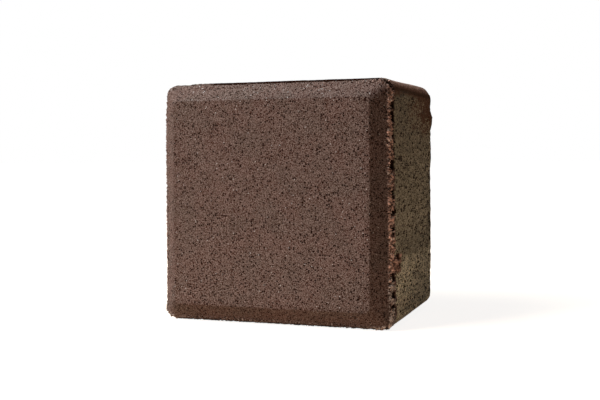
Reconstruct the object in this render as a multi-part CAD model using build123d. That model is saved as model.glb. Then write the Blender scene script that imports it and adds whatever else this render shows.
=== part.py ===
from build123d import *
import os

# A square concrete paver, pressed in one piece. It stands on one of its sides: +Z is up, the
# wearing face looks along -Y and the bed along +Y. The origin is the middle of the side that it
# stands on. Sizes are in millimetres.

# The block
side = 78.0
thickness = 60.0
corner_radius = 4.3

# The bevel round the wearing face, measured square on to the face and back from it
bevel_width = 4.7
bevel_depth = 4.7
face_corner_radius = 2.0
face_edge_radius = 1.2

# The steeper open arris between the foot of the bevel and the sides, where the press head leaves
# a gap at the mould wall
arris_width = 1.4
arris_depth = 2.7


def outline(height, inset, radius):
    """A rounded square across the block, at a height above the bed."""
    plane = Plane(origin=(0, thickness / 2 - height, side / 2), x_dir=(1, 0, 0), z_dir=(0, -1, 0))
    width = side - 2 * inset
    return plane * RectangleRounded(width, width, radius)


def pressed_block():
    """The block as it leaves the mould: straight sides, the arris, then the bevel up to the face."""
    bevel_foot = thickness - bevel_depth
    arris_foot = bevel_foot - arris_depth
    sections = [
        outline(0, 0, corner_radius),
        outline(arris_foot, 0, corner_radius),
        outline(bevel_foot, arris_width, corner_radius - arris_width),
        outline(thickness, arris_width + bevel_width, face_corner_radius),
    ]
    return loft(sections, ruled=True)


def paver():
    """The block with the edge between its bevel and its wearing face eased."""
    block = pressed_block()
    wearing_face = block.faces().sort_by(Axis.Y)[0]
    return fillet(wearing_face.edges(), face_edge_radius)


os.makedirs("parts", exist_ok=True)
export_step(paver(), "parts/paver.step")
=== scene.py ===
"""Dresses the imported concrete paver: its rough pressed skin, its concrete, and a plain pale stage."""

import math

import bpy
import numpy as np
from bpy.props import FloatProperty, FloatVectorProperty, IntProperty, PointerProperty
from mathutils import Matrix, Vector


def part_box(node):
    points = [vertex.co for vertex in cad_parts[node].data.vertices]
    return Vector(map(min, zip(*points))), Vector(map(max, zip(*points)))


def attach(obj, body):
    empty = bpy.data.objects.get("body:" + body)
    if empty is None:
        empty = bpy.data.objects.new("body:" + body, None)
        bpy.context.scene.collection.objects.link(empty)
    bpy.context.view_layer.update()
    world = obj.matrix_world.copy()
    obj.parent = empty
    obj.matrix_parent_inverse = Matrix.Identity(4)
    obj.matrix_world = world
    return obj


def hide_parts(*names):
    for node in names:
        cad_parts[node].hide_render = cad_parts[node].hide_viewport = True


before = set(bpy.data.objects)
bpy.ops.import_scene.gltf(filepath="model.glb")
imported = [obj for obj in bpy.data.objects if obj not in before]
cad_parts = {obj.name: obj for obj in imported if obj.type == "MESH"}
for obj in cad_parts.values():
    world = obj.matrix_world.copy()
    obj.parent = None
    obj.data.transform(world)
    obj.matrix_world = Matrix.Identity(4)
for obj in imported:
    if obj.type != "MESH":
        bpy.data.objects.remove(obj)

bl_info = {
    "name": "Concrete paver",
    "version": (1, 0, 0),
    "blender": (4, 5, 0),
    "location": "3D View > Sidebar > Paver",
    "description": "Presses a bevelled concrete paver with a sandy face, open arrises and filmed sides",
    "category": "Add Mesh",
}

NODE = "paver"
MM = 0.001
TINY = 1e-9
DARKEST = (0.006, 0.002, 0.001)
LOW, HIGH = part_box(NODE)
SIDE = HIGH.x - LOW.x
THICKNESS = HIGH.y - LOW.y

# Hollows that stand out along the right arris: place from front to back, height and radius, in millimetres
LARGE_HOLLOWS = (
    (-24.2, 76.4, 1.1),
    (-24.0, 74.6, 0.8),
    (-23.6, 69.5, 0.9),
    (-23.8, 66.7, 1.0),
    (-23.6, 65.2, 1.0),
    (-23.2, 60.7, 0.7),
    (-23.6, 51.4, 1.5),
    (-23.4, 42.8, 0.9),
    (-23.2, 36.6, 0.9),
    (-23.6, 31.6, 0.7),
    (-23.2, 26.7, 0.5),
    (-19.5, 22.6, 1.2),
    (-16.5, 19.8, 1.0),
    (-23.0, 16.8, 1.2),
    (-23.5, 11.2, 1.0),
    (-23.2, 7.7, 0.8),
    (-22.8, 5.2, 0.5),
)


def length(name, description, millimetres):
    """A length property, given in millimetres and kept in metres."""
    return FloatProperty(
        name=name, description=description, default=millimetres * MM, unit="LENGTH", precision=5, min=0.0)


def share(name, description, default, highest=1.0):
    """A plain factor property."""
    return FloatProperty(name=name, description=description, default=default, min=0.0, max=highest)


def colour(name, description, rgb):
    """A colour property, in linear values."""
    return FloatVectorProperty(
        name=name, description=description, default=rgb, subtype="COLOR", size=3, min=0.0, max=1.0)


def power(name, description, watts):
    """A lamp's power property."""
    return FloatProperty(name=name, description=description, default=watts, unit="POWER", min=0.0)


def position(name, description, metres):
    """A place property."""
    return FloatVectorProperty(
        name=name, description=description, default=metres, subtype="XYZ", unit="LENGTH")


class PaverForm(bpy.types.PropertyGroup):
    """The sizes of the pressed block."""

    side: length("Side", "Length of each side of the square block", SIDE / MM)
    thickness: length("Thickness", "From the bed to the wearing face", THICKNESS / MM)
    corner_radius: length("Corner radius", "Upright corners of the block", 4.3)
    bevel_width: length("Bevel width", "Bevel seen square on to the face", 4.7)
    bevel_depth: length("Bevel depth", "Bevel measured back from the face", 4.7)
    face_corner_radius: length("Face corner radius", "Corners of the flat wearing face", 2.0)
    face_edge_ease: length("Face edge ease", "How softly the bevel runs into the face", 0.12)
    arris_width: length("Arris width", "How far the bevel's foot stands in from the sides", 1.4)
    arris_depth: length("Arris depth", "From the bevel's foot back to the full outline", 2.7)
    steps: IntProperty(
        name="Steps", description="Mesh steps along one side at the lip, a multiple of eight", default=512,
        min=32, max=512)


class PaverRelief(bpy.types.PropertyGroup):
    """The roughness of the skin, from broad waves to single crumbs."""

    wave_height: length("Wave height", "Broad unevenness of the pressed faces", 0.06)
    wave_size: length("Wave size", "Length of the broad waves", 14.0)
    swell_height: length("Swell height", "How far the upper side rises towards the bed", 0.5)
    taper_width: length("Taper", "How much the left side leans out towards its foot", 0.3)
    lift_height: length("Lift height", "How far the standing side rises towards the bed", 0.35)
    grain_height: length("Grain height", "Sand grains on the face and bevel", 0.05)
    grain_size: length("Grain size", "Width of the sand grains that stand out", 1.2)
    lip_height: length("Lip height", "Ragged lip that the press leaves at the bevel's foot", 1.0)
    crumb_size: length("Crumb size", "Width of the crumbs that make up the lip", 0.65)
    void_depth: length("Void depth", "Open hollows behind the lip", 1.1)
    void_size: length("Void size", "Width of a hollow", 2.1)
    nibble_depth: length("Nibble depth", "Small bites out of the edge of the sides", 0.25)
    chip_depth: length("Chip depth", "Where the arris has broken off at the top left", 0.4)
    build_height: length("Build-up height", "Crumbs gathered on the lower left corner", 0.1)
    bed_height: length("Bed roughness", "Open texture of the bed and its edge", 0.5)
    burr_height: length("Burr height", "Thin burr round the edge of the bed", 0.15)
    flash_height: length("Flash height", "Lump of squeezed-out concrete at the bed's edge", 0.8)
    seed: FloatProperty(name="Seed", description="Picks another set of grains and hollows", default=3.0)


class PaverFinish(bpy.types.PropertyGroup):
    """The colours of the concrete."""

    brown: colour("Brown", "Pigmented sandy concrete of the face", (0.121, 0.0775, 0.063))
    red_brown: colour("Red brown", "Warmer patches of the face", (0.131, 0.0770, 0.0625))
    grain: colour("Grain", "What a pale grain adds and a dark one takes away", (0.098, 0.072, 0.063))
    pale_grain: colour("Pale grain", "Single quartz grains", (0.46, 0.39, 0.36))
    crumb: colour("Crumb", "Fresh reddish crumbs on the arris", (0.60, 0.34, 0.26))
    pale_crumb: colour("Pale crumb", "Greyer crumbs among them", (0.72, 0.57, 0.50))
    # The pit colour is painted shade: the darkness of small pits and pores.
    pit: colour("Pit", "Depth of small pits and pores", (0.013, 0.005, 0.003))
    # The speck colour is the concrete under the film, darkened as painted shade in the open pores.
    speck: colour("Speck", "Brown specks where the film is open", (0.030, 0.017, 0.010))
    worn: colour("Worn", "Red-brown concrete where the film has worn off", (0.138, 0.066, 0.037))
    # The hollow colour is painted shade: the darkness of the open hollows and of the gaps between the lip's
    # crumbs.
    hollow: colour("Hollow", "Depth of the open hollows", (0.016, 0.0048, 0.002))
    film: colour("Film", "Pale cement film low on the sides", (0.60, 0.505, 0.36))
    film_dark: colour("Dark film", "Thin cement film of the sides", (0.230, 0.184, 0.129))
    grain_contrast: share("Grain contrast", "How much single grains differ", 1.35, 3.0)
    roughness: share("Roughness", "How matt the concrete is", 0.95)
    shine: share("Shine", "What little light the concrete mirrors", 0.02)
    bump_depth: length("Bump depth", "Depth of the finest grain", 0.15)


class PaverStage(bpy.types.PropertyGroup):
    """The camera, the light and the floor."""

    camera_place: position("Camera place", "Where the camera stands", (0.10876, -0.30483, 0.05438))
    camera_turn: FloatVectorProperty(
        name="Camera turn", description="How the camera is turned", subtype="EULER",
        default=(math.radians(87.274), math.radians(0.364), math.radians(19.628)))
    lens: FloatProperty(name="Lens", description="Focal length in millimetres", default=56.57, min=1.0)
    key_power: power("Key power", "Strength of the main lamp", 6.2)
    key_place: position("Key place", "Main lamp, to the left and in front", (-0.475, -0.400, 0.460))
    key_size: length("Key size", "Width of the main lamp", 400.0)
    sky_power: power("Sky power", "Strength of the lamp above", 0.57)
    sky_place: position("Sky place", "Soft lamp close above the block", (-0.100, -0.060, 0.262))
    sky_size: length("Sky size", "Width of the lamp above", 120.0)
    key_colour: colour("Key colour", "Cool daylight", (0.925, 0.965, 1.0))
    sky_colour: colour("Sky colour", "Cooler light from above", (0.75, 0.94, 1.0))
    ambient: share("Ambient", "Even light from all round", 0.10)
    floor_colour: colour("Floor colour", "Light that the floor sends back, a little warm", (0.75, 0.55, 0.40))
    floor_glow: share("Floor glow", "White added to the floor for the camera alone", 0.86)
    floor_half: length("Floor half width", "From the middle of the floor to its edge", 6000.0)


def socket_of(sockets, key):
    """A socket by its index, its identifier or its name."""
    if isinstance(key, int):
        return sockets[key]
    for socket in sockets:
        if socket.identifier == key:
            return socket
    return sockets[key]


class Signal:
    """An output socket that takes part in arithmetic: each operation adds a Math node."""

    def __init__(self, graph, socket):
        self.graph = graph
        self.socket = socket

    def __add__(self, other):
        return self.graph.math("ADD", self, other)

    __radd__ = __add__

    def __sub__(self, other):
        return self.graph.math("SUBTRACT", self, other)

    def __rsub__(self, other):
        return self.graph.math("SUBTRACT", other, self)

    def __mul__(self, other):
        return self.graph.math("MULTIPLY", self, other)

    __rmul__ = __mul__

    def __truediv__(self, other):
        return self.graph.math("DIVIDE", self, other)

    def __rtruediv__(self, other):
        return self.graph.math("DIVIDE", other, self)

    def __gt__(self, other):
        return self.graph.math("GREATER_THAN", self, other)

    def __or__(self, other):
        return self.graph.math("MAXIMUM", self, other)

    __ror__ = __or__

    def __and__(self, other):
        return self.graph.math("MINIMUM", self, other)

    __rand__ = __and__

    def beside(self, key):
        """Another output of the same node."""
        return Signal(self.graph, socket_of(self.socket.node.outputs, key))

    def rise(self, start, end):
        """Goes smoothly from 0 at start to 1 at end."""
        return self.graph.node(
            "ShaderNodeMapRange", {"interpolation_type": "SMOOTHSTEP"},
            {"Value": self, "From Min": start, "From Max": end})

    def band(self, start, end, soft):
        """1 between start and end, falling smoothly to 0 within soft outside them."""
        return self.rise(start - soft, start) * (1 - self.rise(end, end + soft))


class Graph:
    """A node tree that is being built."""

    def __init__(self, tree):
        self.tree = tree

    def node(self, kind, settings=None, sockets=None, out=0):
        """Adds a node, sets its settings, then sets or links its sockets, and gives one output."""
        made = self.tree.nodes.new(kind)
        for name, value in (settings or {}).items():
            setattr(made, name, value)
        for key, value in (sockets or {}).items():
            target = socket_of(made.inputs, key)
            if isinstance(value, Signal):
                self.tree.links.new(value.socket, target)
            else:
                target.default_value = value
        return Signal(self, socket_of(made.outputs, out)) if len(made.outputs) else made

    def math(self, operation, *values):
        """A Math node on signals and numbers."""
        return self.node("ShaderNodeMath", {"operation": operation}, dict(enumerate(values)))

    def vector(self, operation, *values, out=0):
        """A Vector Math node."""
        return self.node("ShaderNodeVectorMath", {"operation": operation}, dict(enumerate(values)), out)

    def mix(self, factor, first, second, blend="MIX"):
        """Mixes two colours."""
        return self.node(
            "ShaderNodeMix", {"data_type": "RGBA", "blend_type": blend},
            {"Factor_Float": factor, "A_Color": opaque(first), "B_Color": opaque(second)}, "Result_Color")

    def scaled(self, vector, factor):
        """A colour or vector times a factor."""
        first = opaque(vector)[:3] if not isinstance(vector, Signal) else vector
        return self.node("ShaderNodeVectorMath", {"operation": "SCALE"}, {0: first, "Scale": factor})

    def varied(self, base, change, amount):
        """A colour plus a change times an amount, kept above black."""
        changed = self.vector("MULTIPLY_ADD", change, amount, base)
        return self.vector("MAXIMUM", changed, DARKEST)

    def noise(self, place, size, detail=2.0, roughness=0.5, seed=None, dimensions="3D"):
        """Cloudy noise whose patches are about size across, from 0 to 1."""
        sockets = {"Vector": place, "Scale": 1.0 / size, "Detail": detail, "Roughness": roughness}
        if seed is None:
            return self.node("ShaderNodeTexNoise", {"noise_dimensions": dimensions}, sockets)
        return self.node("ShaderNodeTexNoise", {"noise_dimensions": "4D"}, {**sockets, "W": seed})

    def cells(self, place, size, dimensions="3D"):
        """Cells about size across: the distance from each cell's middle, in cells."""
        return self.node(
            "ShaderNodeTexVoronoi", {"voronoi_dimensions": dimensions},
            {"Vector": place, "Scale": 1.0 / size}, "Distance")

    def parts(self, vector):
        """The three parts of a vector or colour."""
        first = self.node("ShaderNodeSeparateXYZ", None, {"Vector": vector})
        return first, first.beside(1), first.beside(2)


def opaque(value):
    """A colour with full alpha, or the signal as it is."""
    return value if isinstance(value, Signal) else (*value, 1.0)


def slope_length(width, depth):
    """Length of a slope that goes width across and depth back."""
    return math.hypot(width, depth)


def round_square(across, up, half, radius):
    """Moves points of a square, across and up from -1 to 1, on to rounded squares of that half width."""
    far = np.maximum(np.abs(across), np.abs(up))
    along = np.minimum(np.abs(across), np.abs(up)) / np.maximum(far, TINY)
    straight = half - radius
    run = along * (straight + radius * math.pi / 4)
    turn = np.maximum(run - straight, 0.0) / np.maximum(radius, TINY)
    outward = straight + radius * np.cos(turn)
    sideways = np.minimum(run, straight) + radius * np.sin(turn)
    wide = np.abs(across) >= np.abs(up)
    x = np.sign(across) * np.where(wide, outward, sideways)
    z = np.sign(up) * np.where(wide, sideways, outward)
    return x, z


def square_grid(steps):
    """A grid of points from -1 to 1 both ways."""
    line = np.linspace(-1.0, 1.0, steps + 1)
    across, up = np.meshgrid(line, line, indexing="ij")
    return across.ravel(), up.ravel()


def grid_quads(steps):
    """The faces of such a grid."""
    corner = (np.arange(steps)[:, None] * (steps + 1) + np.arange(steps)).ravel()
    return np.column_stack([corner, corner + steps + 1, corner + steps + 2, corner + 1])


def grid_rim(steps):
    """The points round the edge of such a grid, in order."""
    count, first, last = np.arange(steps), np.zeros(steps, int), np.full(steps, steps)
    across = np.concatenate([count, last, steps - count, first])
    up = np.concatenate([first, count, last, steps - count])
    return across * (steps + 1) + up


class BlockMesh:
    """The pressed block as one closed grid: fine round the bevel and the arris, coarser elsewhere.

    Each point carries its reach, the distance from the bevel's foot along the skin: below zero on the
    bevel and the face, above zero over the arris, down the sides and on the bed. It also carries its
    place on the skin laid flat round the middle of the face.
    """

    def __init__(self, form):
        self.form = form
        self.half = form.side / 2
        self.bevel_run = slope_length(form.bevel_width, form.bevel_depth)
        self.arris_run = slope_length(form.arris_width, form.arris_depth)
        self.bed_start = self.arris_run + form.thickness - form.bevel_depth - form.arris_depth
        self.face_middle = form.arris_width + form.bevel_width - self.half - self.bevel_run
        self.points = []
        self.reach = []
        self.spread = []
        self.faces = []

    def section(self, reach):
        """Inset from the sides, depth behind the face and corner radius of the skin at a reach."""
        form = self.form
        stops = (self.face_middle, -self.bevel_run, 0.0, self.arris_run, self.bed_start,
                 self.bed_start + self.half)
        inset = np.interp(reach, stops, (
            self.half, form.arris_width + form.bevel_width, form.arris_width, 0.0, 0.0, self.half))
        depth = np.interp(reach, stops[2:], (
            form.bevel_depth, form.bevel_depth + form.arris_depth, form.thickness, form.thickness))
        fall = form.bevel_depth * (1.0 + reach / self.bevel_run)
        eased = (fall + np.sqrt(fall * fall + form.face_edge_ease ** 2)) / 2
        depth = np.where(reach < 0.0, eased, depth)
        radius = np.interp(reach, stops, (
            0.0, form.face_corner_radius, form.corner_radius - form.arris_width,
            form.corner_radius, form.corner_radius, 0.0))
        return inset, depth, radius

    def add(self, across, up, reach):
        """Adds points of a square at a reach and gives their numbers."""
        start = sum(len(group) for group in self.points)
        inset, depth, radius = self.section(reach)
        x, z = round_square(across, up, self.half - inset, radius)
        y = np.broadcast_to(depth, x.shape) - self.form.thickness / 2
        self.points.append(np.column_stack([x, y, z + self.half]))
        self.reach.append(np.broadcast_to(reach, x.shape))
        out = (reach - self.face_middle) / np.maximum(np.maximum(np.abs(across), np.abs(up)), TINY)
        self.spread.append(np.column_stack([across * out, up * out, np.zeros(len(x))]))
        return start + np.arange(len(x))

    def cap(self, steps, rim, middle):
        """A filled square, from its rim's reach to that of its middle. Gives its points and its rim."""
        across, up = square_grid(steps)
        far = np.maximum(np.abs(across), np.abs(up))
        numbers = self.add(across, up, middle + (rim - middle) * far)
        return numbers[grid_quads(steps)], numbers[grid_rim(steps)]

    def ring(self, steps, reach):
        """A row of points right round the block."""
        across, up = square_grid(steps)
        loop = grid_rim(steps)
        return self.add(across[loop], up[loop], np.float64(reach))

    def join(self, front, back):
        """Faces between two rows, of which one may have twice the points of the other."""
        front_next, back_next = np.roll(front, -1), np.roll(back, -1)
        if len(front) == len(back):
            self.faces.append(np.column_stack([front, back, back_next, front_next]))
        elif len(front) < len(back):
            first, middle, last = back[0::2], back[1::2], np.roll(back, -2)[0::2]
            self.faces.append(np.column_stack([front, first, middle]))
            self.faces.append(np.column_stack([front, middle, front_next]))
            self.faces.append(np.column_stack([front_next, middle, last]))
        else:
            first, middle, last = front[0::2], front[1::2], np.roll(front, -2)[0::2]
            self.faces.append(np.column_stack([first, back, middle]))
            self.faces.append(np.column_stack([middle, back, back_next]))
            self.faces.append(np.column_stack([middle, back_next, last]))

    def make(self, name):
        """The whole block as a mesh."""
        steps = self.form.steps
        face_edge, shoulder = -self.bevel_run, self.arris_run + 4 * MM
        ease_start, ease_end = face_edge - 0.35 * MM, face_edge + 0.35 * MM
        lip_start, lip_end = -1.6 * MM, self.arris_run + 0.6 * MM
        share_down = np.linspace(0.0, 1.0, 31)[1:]
        eased = share_down + 0.6 * np.sin(math.pi * share_down) / math.pi
        rows = [(steps // 4, face_edge - 1.2 * MM), (steps // 2, ease_start)]
        rows += [(steps // 2, face_edge + step * MM) for step in (-0.12, 0.0, 0.12)]
        rows += [(steps // 2, reach) for reach in np.linspace(ease_end, lip_start, 9)]
        rows += [(steps, reach) for reach in np.linspace(lip_start, lip_end, 25)[1:]]
        rows += [(steps // 2, reach) for reach in np.linspace(lip_end, shoulder, 6)[1:]]
        rows += [(steps // 4, reach) for reach in shoulder + (self.bed_start - shoulder) * eased]
        face_quads, before = self.cap(steps // 8, face_edge - 2 * MM, self.face_middle)
        self.faces.append(face_quads)
        for count, reach in rows:
            row = self.ring(count, reach)
            self.join(before, row)
            before = row
        bed_quads, bed_rim = self.cap(steps // 8, self.bed_start + 0.6 * MM, self.bed_start + self.half)
        self.faces.append(bed_quads[:, ::-1])
        self.join(before, bed_rim)

        mesh = bpy.data.meshes.new(name)
        mesh.from_pydata(
            np.vstack(self.points).tolist(), [], [face for group in self.faces for face in group.tolist()])
        mesh.attributes.new("reach", "FLOAT", "POINT").data.foreach_set(
            "value", np.concatenate(self.reach).astype(np.float32))
        mesh.attributes.new("spread", "FLOAT_VECTOR", "POINT").data.foreach_set(
            "vector", np.vstack(self.spread).astype(np.float32).ravel())
        mesh.polygons.foreach_set("use_smooth", [True] * len(mesh.polygons))
        mesh.update()
        return mesh


def relief_tree(form, relief):
    """The Geometry Nodes tree that roughens the block along its normals."""
    tree = bpy.data.node_groups.new("pressed_relief", "GeometryNodeTree")
    tree.interface.new_socket(name="Geometry", in_out="OUTPUT", socket_type="NodeSocketGeometry")
    tree.interface.new_socket(name="Geometry", in_out="INPUT", socket_type="NodeSocketGeometry")
    for name in relief.__annotations__:
        tree.interface.new_socket(name=name, in_out="INPUT", socket_type="NodeSocketFloat")
    tree.interface.new_socket(name="concrete", in_out="INPUT", socket_type="NodeSocketMaterial")
    g = Graph(tree)
    given = g.node("NodeGroupInput")
    seed = given.beside("seed")
    place = g.node("GeometryNodeInputPosition")
    x, y, z = g.parts(place)
    reach = g.node("GeometryNodeInputNamedAttribute", {"data_type": "FLOAT"}, {"Name": "reach"})
    spread = g.node("GeometryNodeInputNamedAttribute", {"data_type": "FLOAT_VECTOR"}, {"Name": "spread"})
    arris_run = slope_length(form.arris_width, form.arris_depth)
    bed_start = arris_run + form.thickness - form.bevel_depth - form.arris_depth

    def size(name):
        return given.beside(name)

    def near(centre, inner, outer):
        """1 within inner of a place and 0 beyond outer, all in millimetres."""
        far = g.vector("DISTANCE", place, Vector(centre) * MM, out="Value")
        return 1 - far.rise(inner * MM, outer * MM)

    # Broad waves, a swell of the upper side, and sand grains that stand out less under the sides' film
    wave = (g.noise(place, size("wave_size"), 1.0, seed=seed) - 0.5) * 2
    swell = z.rise(form.side - 5 * MM, form.side - 0.5 * MM) * y.rise(-12 * MM, 26 * MM)
    on_side = reach.rise(arris_run, arris_run + 0.8 * MM)
    grain = (g.noise(place, size("grain_size"), 2.0, 0.6, seed=seed) - 0.5) * 4 * (1 - 0.6 * on_side)
    grain = grain * (0.2 + 0.8 * reach.rise(-1.5 * MM, -0.5 * MM))

    # The lip at the bevel's foot: a ridge of crumbs that wanders and is highest along the right edge,
    # and a broken place low on that edge where the crumbs go further down the side
    right_edge = x.rise(30 * MM, 36 * MM)
    lower_right = right_edge * z.rise(48 * MM, 12 * MM)
    foot = right_edge * z.rise(14 * MM, 10 * MM)
    wander = (g.noise(place, 9.0 * MM, 1.0, seed=seed + 11) - 0.5) * 1.2 * MM
    edge = reach - wander - 0.2 * MM - 0.25 * MM * lower_right - 0.3 * MM * foot
    ridge = edge.rise(-1.0 * MM, -0.2 * MM) * (1 - 0.5 * edge.rise(1.2 * MM, 2.2 * MM))
    ridge = ridge * (1 - edge.rise(arris_run - 0.6 * MM, arris_run - 0.1 * MM))
    strong = 0.35 + 0.65 * (x.rise(26 * MM, 36 * MM) | 0.5 * z.rise(8 * MM, 3 * MM))
    strong = strong + 0.25 * x.rise(-34 * MM, -36 * MM)
    scatter = g.noise(place, 2.4 * MM, 2.0, 0.6, seed=seed + 5)
    from_scar = g.vector("SUBTRACT", place, (form.side / 2, -19.0 * MM, 20.7 * MM))
    from_scar = g.vector("LENGTH", g.vector("MULTIPLY", from_scar, (0.8, 0.65, 1.0)), out="Value")
    scar = 1 - (from_scar + (scatter - 0.5) * 4 * MM).rise(2.8 * MM, 3.8 * MM)
    shifted = g.vector("ADD", spread, seed * 0.011)
    stir = g.noise(spread, 0.8 * MM, 1.0, dimensions="2D").beside("Color")
    stirred = g.vector("MULTIPLY_ADD", stir, (0.0012, 0.0012, 0.0), shifted)
    crumb = g.cells(stirred, size("crumb_size"), "2D")
    crumb_share, crumb_tone = g.parts(crumb.beside("Color"))[:2]
    dome = 1 - crumb * crumb * 2.6 | 0.0
    bank = ridge * strong | 0.8 * scar
    lip = bank * (0.15 + 0.85 * crumb_share) * (0.25 + 0.75 * dome)

    # Open hollows behind it, in a row along the top and scattered along the other edges
    along_top = z.rise(form.side - 3 * MM, form.side - 1 * MM) * x.rise(-24 * MM, -20 * MM)
    along_top = along_top * (1 - x.rise(33.5 * MM, 35.5 * MM))
    hollow_band = edge.band(1.2 * MM, arris_run - 0.3 * MM, 0.35 * MM)
    pocket = g.cells(shifted, size("void_size"), "2D")
    chance = g.parts(pocket.beside("Color"))[1] - 0.2 * right_edge
    open_row = along_top * scatter.rise(0.3, 0.45)
    hole = pocket + (scatter - 0.5) * 0.8 + (0.4 - crumb) * 0.5
    void = (chance.rise(0.68, 0.78) * (1 - hole.rise(0.26, 0.46)) | open_row) * hollow_band

    # A slit high on the right arris, the large hollows there, and small bites out of the sides' edge
    on_right = x.rise(34 * MM, 36 * MM)
    on_arris = edge.rise(0.3 * MM, 1.1 * MM) * (1 - edge.rise(arris_run - 0.1 * MM, arris_run + 0.5 * MM))
    slit = edge.band(2.0 * MM, arris_run - 0.2 * MM, 0.35 * MM) * scatter.rise(0.44, 0.54)
    void = void | 0.6 * on_right * slit * z.rise(50 * MM, 58 * MM)
    for back, up, radius in LARGE_HOLLOWS:
        far = g.vector("SUBTRACT", place, (0.0, back * MM, up * MM))
        far = g.vector("LENGTH", g.vector("MULTIPLY", far, (0.0, 0.7, 1.0)), out="Value")
        ragged = far + (scatter - 0.5) * 1.6 * MM + (0.4 - crumb) * 1.0 * MM
        zone = on_right * on_arris if back < -22 else on_right
        void = void | zone * (1 - ragged.rise(0.7 * radius * MM, 1.15 * radius * MM))
    lip = lip * (1 - void)
    shade_line = open_row * reach.band(1.2 * MM, arris_run + 1.0 * MM, 0.4 * MM)
    nibble = scatter.rise(0.5, 0.62) * edge.band(arris_run - 0.6 * MM, arris_run + 0.3 * MM, 0.6 * MM)
    nibble = nibble * (1 - along_top)

    # The arris worn off at the top left and the top back corner, and crumbs gathered at the lower left
    top_left = z.rise(form.side - 4 * MM, form.side - 2 * MM) * x.rise(-25.3 * MM, -35 * MM)
    left_top = x.rise(-34 * MM, -37 * MM) * z.rise(66 * MM, 72 * MM) * 0.7
    corner = x.rise(-33 * MM, -36 * MM) * z.rise(73 * MM, 76 * MM)
    chip = (top_left | left_top) * reach.band(0.0, 6 * MM, 2 * MM) * (1 - 0.4 * corner)
    bruise = near((38.0, 30.0, 77.0), 0.6, 3.0)
    build = near((-38.3, -24.0, 1.2), 1.5, 6.0)

    # The open bed, the burr round its edge and a lump squeezed out beside the upper corner
    on_bed = reach.rise(bed_start - 0.8 * MM, bed_start + 0.4 * MM)
    rough = g.noise(place, 2.0 * MM, 3.0, 0.6, seed=seed + 3)
    bed = (rough - 0.5) * 3 * on_bed
    burr = reach.rise(bed_start - 3 * MM, bed_start)
    burr = burr * (1 - reach.rise(bed_start + 0.1 * MM, bed_start + 0.9 * MM))
    burr = burr * g.noise(place, 7.0 * MM, 2.0, 0.6, seed=seed + 3).rise(0.3, 0.65)
    burr = burr * z.band(16 * MM, 56 * MM, 8 * MM)
    lump = g.vector("SUBTRACT", place, (form.side / 2, form.thickness / 2 - 0.5 * MM, 66.6 * MM))
    lump_size = g.vector("LENGTH", g.vector("MULTIPLY", lump, (1.0, 0.7, 1.1)), out="Value")
    flash = 1 - lump_size.rise(0.4 * MM, 4.4 * MM)

    height = (wave * size("wave_height") + swell * size("swell_height") + grain * size("grain_height")
              + lip * size("lip_height") - void * size("void_depth") - nibble * size("nibble_depth")
              - (chip + bruise) * size("chip_depth") + build * size("build_height")
              + bed * size("bed_height") + burr * size("burr_height") + flash * size("flash_height"))
    raised = g.vector("ADD", place, g.scaled(g.node("GeometryNodeInputNormal"), height))
    leaning = (x & 0.0) * size("taper_width") * (2 / form.side) * (1 - z * (2 / form.side))
    lifted = z.rise(5 * MM, 0.0) * y.rise(-8 * MM, 30 * MM) * size("lift_height")
    leaned = g.vector("ADD", raised, g.node("ShaderNodeCombineXYZ", None, {"X": leaning, "Z": lifted}))
    on_floor = g.vector("MAXIMUM", leaned, (-1.0, -1.0, 0.0))
    moved = g.node("GeometryNodeSetPosition", None, {"Geometry": given, "Position": on_floor})
    # The low places between the lip's crumbs, kept as the mask for their painted shade.
    gap = bank.rise(0.3, 0.7) * (1 - dome.rise(0.0, 0.35))
    kept = {"edge": edge, "void": void | shade_line, "lip": lip, "gap": gap, "crumb_tone": crumb_tone,
            "bare": flash | scar}
    for name, value in kept.items():
        moved = g.node(
            "GeometryNodeStoreNamedAttribute", {"data_type": "FLOAT", "domain": "POINT"},
            {"Geometry": moved, "Name": name, "Value": value})
    solid = g.node("GeometryNodeRealizeInstances", None, {"Geometry": moved})
    finished = g.node(
        "GeometryNodeSetMaterial", None, {"Geometry": solid, "Material": given.beside("concrete")})
    g.node("NodeGroupOutput", None, {"Geometry": finished})
    return tree


def roughen(block, tree, settings):
    """Runs the relief tree on the block and keeps the result as its plain mesh."""
    modifier = block.modifiers.new("relief", "NODES")
    modifier.node_group = tree
    for item in tree.interface.items_tree:
        if item.in_out == "INPUT" and item.name in settings:
            modifier[item.identifier] = settings[item.name]
    depsgraph = bpy.context.evaluated_depsgraph_get()
    finished = bpy.data.meshes.new_from_object(
        block.evaluated_get(depsgraph), preserve_all_data_layers=True, depsgraph=depsgraph)
    smooth_base = block.data
    block.modifiers.clear()
    block.data = finished
    bpy.data.meshes.remove(smooth_base)
    finished.name = block.name


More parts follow.
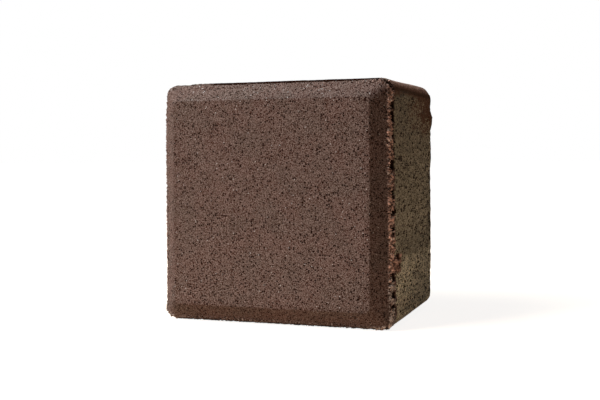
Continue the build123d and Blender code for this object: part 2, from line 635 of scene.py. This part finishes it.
def concrete(form, finish):
    """Sandy brown concrete with a cement film on the sides."""
    material = bpy.data.materials.new("pressed_concrete")
    material.use_nodes = True
    material.node_tree.nodes.clear()
    g = Graph(material.node_tree)
    place = g.node("ShaderNodeTexCoord", out="Object")
    x, y, z = g.parts(place)

    def kept(name):
        return g.node("ShaderNodeAttribute", {"attribute_name": name}, out="Fac")

    edge, reach, void, lip = (kept(name) for name in ("edge", "reach", "void", "lip"))
    gap, crumb_tone, bare = (kept(name) for name in ("gap", "crumb_tone", "bare"))
    arris_run = slope_length(form.arris_width, form.arris_depth)
    bevel_run = slope_length(form.bevel_width, form.bevel_depth)
    bed_start = arris_run + form.thickness - form.bevel_depth - form.arris_depth

    # The skin laid flat: the face with its bevel, then each side, then the bed
    spread = g.node("ShaderNodeAttribute", {"attribute_name": "spread"}, out="Vector")
    upright = g.math("ABSOLUTE", x) > g.math("ABSOLUTE", z - form.side / 2)
    along = x + upright * (z - x + 0.2)
    on_side = g.node("ShaderNodeCombineXYZ", None, {"X": along, "Y": y})
    on_bed = g.node("ShaderNodeCombineXYZ", None, {"X": x, "Y": z})
    flat = g.mix(reach > bed_start, g.mix(reach > arris_run, spread, on_side), on_bed)
    drawn = g.mix(reach > bed_start, g.vector("MULTIPLY", on_side, (1.0, 0.33, 1.0)), on_bed)

    # Sand grains, each a little darker or paler, with pits painted dark as their shade and a few quartz
    # grains between them
    grains = g.cells(flat, 0.26 * MM, "2D")
    tone, hue = g.parts(grains.beside("Color"))[:2]
    clump = g.noise(flat, 0.36 * MM, 0.0, dimensions="2D")
    patch = g.noise(place, 8.0 * MM, 2.0)
    level = 1.1 * (tone - 0.5) + 1.6 * (clump - 0.5)
    # A band of the face next to the bevel is darkened: painted shade along the face's edge.
    crease_shade = reach.band(-bevel_run - 1.0 * MM, -bevel_run - 0.2 * MM, 0.6 * MM)
    brown = g.mix((patch + (hue - 0.5) * 0.3).rise(0.3, 0.7), finish.brown, finish.red_brown)
    sandy = g.varied(brown, finish.grain, level * finish.grain_contrast - 0.1 * crease_shade)
    pits = g.cells(flat, 0.72 * MM, "2D")
    pit_pick = g.parts(pits.beside("Color"))[0]
    pit = (1 - pits.rise(0.30, 0.48)) * pit_pick.rise(0.76, 0.92)
    sandy = g.mix(pit, sandy, finish.pit)
    quartz = g.cells(flat, 0.5 * MM, "2D")
    # Pale quartz grains are real, but there are more of them high up, on the top bevel and the top: painted
    # glints where the light from above falls.
    quartz_pick = g.parts(quartz.beside("Color"))[1] + 0.012 * z.rise(70 * MM, 73 * MM)
    sparkle = (1 - quartz.rise(0.25, 0.40)) * quartz_pick.rise(0.992, 0.996)
    sandy = g.mix(sparkle, sandy, finish.pale_grain)

    # Crumbs of the lip, reddish and pale
    crumb_pick = g.noise(flat, 1.2 * MM, 1.0) - 0.3 * bare
    crumb_pick = crumb_pick + 0.2 * z.rise(20 * MM, 12 * MM) + 0.1 * z.rise(8 * MM, 4 * MM)
    crumb = g.mix(crumb_pick.rise(0.50, 0.72), finish.crumb, finish.pale_crumb)
    crumb_level = 0.45 + crumb_tone + (tone - 0.5) + 0.5 * z.band(22 * MM, 34 * MM, 5 * MM)
    # Pits darken the crumbs too: painted shade.
    crumb = g.scaled(crumb, crumb_level * (1 - 0.6 * pit) * (1 - 0.2 * bare))
    fresh = x.rise(30 * MM, 36 * MM) * (1 - 0.75 * z.rise(73.5 * MM, 75 * MM))
    fresh = fresh * (1 - 0.2 * z.band(7 * MM, 14 * MM, 3 * MM))
    crumbly = lip.rise(0.06, 0.45) * (0.2 + 0.75 * fresh) * (1 - 0.6 * z.rise(75.3 * MM, 76.5 * MM))
    sandy = g.mix(crumbly, sandy, crumb)
    # Between the crumbs, mostly on the right edge, the skin takes the hollow colour: painted shade.
    sandy = g.mix(gap * fresh * 0.5, sandy, finish.hollow)

    # Cement film of the sides, drawn out along the way the block left the mould
    broad = g.noise(g.vector("MULTIPLY", place, (1.0, 0.4, 1.0)), 11.0 * MM, 3.0, 0.6)
    pale = (z + (broad - 0.5) * 16 * MM).band(9 * MM, 20 * MM, 5 * MM)
    pale = pale * (0.6 + 0.4 * y.rise(12 * MM, -8 * MM))
    # Down the right side the film is also painted paler towards the floor, most at the bottom: painted bounce
    # light from the floor.
    pale = pale | 0.45 * z.rise(76 * MM, 6 * MM) | z.rise(8 * MM, 0.0)
    on_right = x.rise(20 * MM, 36 * MM)
    film = g.scaled(g.mix(pale * on_right, finish.film_dark, finish.film), 0.8 + 0.25 * on_right)
    speck = g.cells(drawn, 0.30 * MM, "2D")
    speck_tone = g.parts(speck.beside("Color"))[0]
    blotch = g.noise(drawn, 2.4 * MM, 3.0, 0.6, dimensions="2D")
    towards_bed = y.rise(-15 * MM, 20 * MM)
    film_level = 1 + 1.3 * (speck_tone - 0.5) + (0.6 + 1.0 * towards_bed) * (blotch - 0.5)
    smudge = (z + (broad - 0.5) * 12 * MM).band(24 * MM, 28 * MM, 4 * MM) * y.rise(-24 * MM, -12 * MM)
    cloud = g.noise(drawn, 4.5 * MM, 1.0, dimensions="2D").rise(0.52, 0.66)
    cloud = cloud * towards_bed * z.band(2 * MM, 8 * MM, 3 * MM)
    film_level = film_level * (1 - 0.3 * smudge * on_right) * (1 + 0.2 * towards_bed * on_right)
    # Low on the right side the film is painted brighter still: painted light from the floor.
    film_level = film_level * (1 + 0.4 * z.rise(12 * MM, 0.0) * on_right)
    stir = g.noise(drawn, 0.6 * MM, 2.0, dimensions="2D").beside("Color")
    pore = g.cells(g.vector("MULTIPLY_ADD", stir, (0.0006, 0.0006, 0.0), drawn), 0.72 * MM, "2D")
    pore_size = g.parts(pore.beside("Color"))[0] - 0.38 + 0.8 * (blotch - 0.5) + 0.06 * towards_bed
    open_pore = (0.8 * pore_size - pore).rise(-0.03, 0.05)
    stain = y.rise(23 * MM, 27 * MM) * z.band(26 * MM, 42 * MM, 6 * MM) | cloud
    film_level = film_level * (1 - 0.3 * stain * on_right)
    # Open pores take the speck colour: the concrete under the film, with painted shade in the pores.
    film = g.mix(open_pore * (0.7 + 0.3 * on_right), g.scaled(film, film_level | 0.1), finish.speck)

    # The film stops short of the arris, and has worn off the upper corner and the lump beside the bed
    broken = on_right * z.band(4 * MM, 17 * MM, 3 * MM)
    top_row = z.rise(form.side - 3 * MM, form.side - 1 * MM) * x.band(-22 * MM, 34 * MM, 2 * MM)
    ragged = edge + (g.noise(place, 1.5 * MM, 2.0) - 0.5) * (2.0 + 5.0 * broken) * MM - 1.2 * MM * broken
    ragged = ragged - 1.5 * MM * top_row
    filmed = ragged.rise(arris_run - 0.4 * MM, arris_run + 0.1 * MM)
    upper = (x - 2.2 * MM) & (z - form.side / 2)
    rounding = upper + (broad - 0.5) * 7 * MM + (speck_tone - 0.5) * 2 * MM
    rounding = rounding.rise(33.4 * MM, 35.6 * MM) * on_right
    from_corner = g.vector("SUBTRACT", place, (form.side / 2, 28 * MM, 71 * MM))
    from_corner = g.vector("LENGTH", g.vector("MULTIPLY", from_corner, (1.0, 0.4, 1.0)), out="Value")
    worn = from_corner + (broad - 0.5) * 20 * MM + (blotch - 0.5) * 12 * MM + (speck_tone - 0.5) * 9 * MM
    worn = 1 - worn.rise(5 * MM, 10 * MM)
    bared = rounding | worn | bare
    mottle = g.parts(stir)[0] - 0.5
    red = g.varied(finish.worn, finish.grain, 1.0 * level + 0.8 * mottle)
    # Pits are painted dark on the worn concrete too, as shade, and it is darker in a band just below the top
    # corner.
    red = g.scaled(g.mix(pit, red, finish.pit), 1 - 0.45 * z.band(74.3 * MM, 75.0 * MM, 0.6 * MM))
    # Along the top of the right side's rounding the worn concrete is painted paler, like a crumb: a paler
    # worn edge, with a painted highlight where the rounding turns up to the light.
    rim = z.rise(74.8 * MM, 77.3 * MM)
    red = g.mix(rim, red, g.scaled(finish.crumb, 0.9 + 0.9 * (tone - 0.5) - 0.6 * pit + 2.0 * mottle | 0.1))
    red = g.mix(crumbly, red, crumb)
    film = g.mix(0.7 * reach.rise(bed_start - 0.6 * MM, bed_start + 1.5 * MM), film, sandy)
    skin = g.mix(filmed, sandy, g.mix(bared, film, red))
    filmed = filmed * (1 - bared)

    # The skin is painted a little paler low down, as painted light making up for the lamps' light falling off
    # towards the floor, and the bevels are painted darker along their inner edge as shade
    skin = g.scaled(skin, 0.96 + 0.14 * z.rise(form.side, 0.0))
    # The bottom bevel is painted darker near the face and paler towards its foot: painted light making up for
    # the floor's shade close under it.
    foot_bevel = reach.band(-bevel_run + 0.2 * MM, arris_run, 0.4 * MM) * z.rise(7.0 * MM, 6.2 * MM)
    skin = g.scaled(skin, 1 + foot_bevel * (0.28 * z.rise(6 * MM, 1 * MM) - 0.13))
    inner = reach.rise(-bevel_run - 0.2 * MM, -bevel_run + 0.1 * MM)
    inner = inner * (1 - reach.rise(-bevel_run, -bevel_run + 2.4 * MM))
    top_bevel = 0.3 + 0.7 * x.rise(-25 * MM, 5 * MM) - 0.6 * x.rise(15 * MM, 33 * MM)
    top_bevel = top_bevel * z.rise(70 * MM, 73 * MM)
    left_bevel = x.rise(-31 * MM, -33 * MM)
    skin = g.scaled(skin, 1 - 0.2 * inner * (top_bevel | 0.9 * left_bevel))
    # The rest of the left bevel is painted a little darker: painted shade.
    skin = g.scaled(skin, 1 - 0.06 * left_bevel * reach.band(-bevel_run + 0.5 * MM, 0.0, 1 * MM))
    # The hollows, and a dark line along the top arris, take painted shade, deepest along the right edge and
    # the top row.
    skin = g.mix(void.rise(0.12, 0.5) * (0.7 + 0.26 * (on_right | top_row)), skin, finish.hollow)

    bump_height = (clump - 0.5) - 0.4 * pit - open_pore * filmed
    bump = g.node(
        "ShaderNodeBump", None,
        {"Strength": 1.0, "Distance": finish.bump_depth, "Height": bump_height}, "Normal")
    shader = g.node(
        "ShaderNodeBsdfPrincipled", None,
        {"Base Color": skin, "Roughness": finish.roughness, "Specular IOR Level": finish.shine,
         "Normal": bump})
    g.node("ShaderNodeOutputMaterial", None, {"Surface": shader})
    return material


class PAVER_OT_press_block(bpy.types.Operator):
    """Presses the block and gives it its rough skin and its concrete"""

    bl_idname = "paver.press_block"
    bl_label = "Press block"

    def execute(self, context):
        scene = context.scene
        form, relief = scene.paver_form, scene.paver_relief
        block = bpy.data.objects.new("paver_block", BlockMesh(form).make("paver_block"))
        scene.collection.objects.link(block)
        settings = {name: getattr(relief, name) for name in relief.__annotations__}
        settings["concrete"] = concrete(form, scene.paver_finish)
        roughen(block, relief_tree(form, relief), settings)
        if not block.data.polygons:
            raise RuntimeError("the relief left no block")
        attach(block, "root")
        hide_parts(NODE)
        return {"FINISHED"}


def white_for_camera(g):
    """1 for the rays that show the background: those of the camera, of reflections and through glass."""
    path = g.node("ShaderNodeLightPath", out="Is Camera Ray")
    return path | path.beside("Is Glossy Ray") | path.beside("Is Transmission Ray")


def floor_material(stage):
    """A pale floor that looks white and keeps the block's shadow."""
    material = bpy.data.materials.new("pale_floor")
    material.use_nodes = True
    material.node_tree.nodes.clear()
    g = Graph(material.node_tree)
    matt = g.node("ShaderNodeBsdfDiffuse", None, {"Color": (*stage.floor_colour, 1.0)})
    place = g.node("ShaderNodeTexCoord", out="Object")
    away = g.vector("LENGTH", place, out="Value").rise(0.2, 1.2)
    glow_strength = (stage.floor_glow + (1 - stage.floor_glow) * away) * white_for_camera(g)
    glow = g.node("ShaderNodeEmission", None, {"Strength": glow_strength})
    both = g.node("ShaderNodeAddShader", None, {0: matt, 1: glow})
    g.node("ShaderNodeOutputMaterial", None, {"Surface": both})
    return material


def white_world(stage):
    """Even light all round, with a white background."""
    world = bpy.data.worlds.new("white_room")
    world.use_nodes = True
    world.node_tree.nodes.clear()
    g = Graph(world.node_tree)
    shown = white_for_camera(g)
    strength = stage.ambient + (1 - stage.ambient) * shown
    background = g.node("ShaderNodeBackground", None, {"Color": (1.0, 1.0, 1.0, 1.0), "Strength": strength})
    g.node("ShaderNodeOutputWorld", None, {"Surface": background})
    return world


def soft_lamp(name, place, size, power, tint):
    """A square lamp that looks at the middle of the block."""
    data = bpy.data.lights.new(name, "AREA")
    data.size = size
    data.energy = power
    data.color = tint
    lamp = bpy.data.objects.new(name, data)
    lamp.location = place
    lamp.rotation_euler = (Vector(place) - (LOW + HIGH) / 2).to_track_quat("Z", "Y").to_euler()
    return lamp


class PAVER_OT_set_stage(bpy.types.Operator):
    """Lays the floor and sets the lamps, the background and the camera"""

    bl_idname = "paver.set_stage"
    bl_label = "Set stage"

    def execute(self, context):
        scene = context.scene
        stage = scene.paver_stage
        half = stage.floor_half
        mesh = bpy.data.meshes.new("floor")
        mesh.from_pydata(
            [(-half, -half, 0), (half, -half, 0), (half, half, 0), (-half, half, 0)], [], [(0, 1, 2, 3)])
        mesh.materials.append(floor_material(stage))
        floor = bpy.data.objects.new("floor", mesh)
        scene.collection.objects.link(floor)

        for name in ("key", "sky"):
            place, size, power, tint = (
                getattr(stage, name + part) for part in ("_place", "_size", "_power", "_colour"))
            scene.collection.objects.link(soft_lamp(name + "_lamp", place, size, power, tint))

        scene.world = white_world(stage)
        scene.view_settings.view_transform = "Standard"

        camera_data = bpy.data.cameras.new("camera")
        camera_data.lens = stage.lens
        camera_data.clip_start = 0.01
        camera = bpy.data.objects.new("camera", camera_data)
        camera.location = stage.camera_place
        camera.rotation_euler = stage.camera_turn
        scene.collection.objects.link(camera)
        scene.camera = camera
        return {"FINISHED"}


class PAVER_PT_panel(bpy.types.Panel):
    """Lists the paver's steps and settings"""

    bl_label = "Concrete paver"
    bl_idname = "PAVER_PT_panel"
    bl_space_type = "VIEW_3D"
    bl_region_type = "UI"
    bl_category = "Paver"

    def draw(self, context):
        column = self.layout.column()
        for operator in OPERATORS:
            column.operator(operator.bl_idname)
        for name, group in GROUPS.items():
            settings = getattr(context.scene, name)
            for key in group.__annotations__:
                column.prop(settings, key)


GROUPS = {
    "paver_form": PaverForm,
    "paver_relief": PaverRelief,
    "paver_finish": PaverFinish,
    "paver_stage": PaverStage,
}
OPERATORS = (PAVER_OT_press_block, PAVER_OT_set_stage)
CLASSES = (*GROUPS.values(), *OPERATORS, PAVER_PT_panel)


def register():
    """Adds the settings, the operators and the panel to Blender."""
    for cls in CLASSES:
        bpy.utils.register_class(cls)
    for name, group in GROUPS.items():
        setattr(bpy.types.Scene, name, PointerProperty(type=group))


def unregister():
    """Takes them out again."""
    for name in GROUPS:
        delattr(bpy.types.Scene, name)
    for cls in reversed(CLASSES):
        bpy.utils.unregister_class(cls)


def main():
    """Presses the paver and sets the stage."""
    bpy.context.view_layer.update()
    register()
    bpy.ops.paver.press_block()
    bpy.ops.paver.set_stage()


if __name__ == "__main__":
    main()
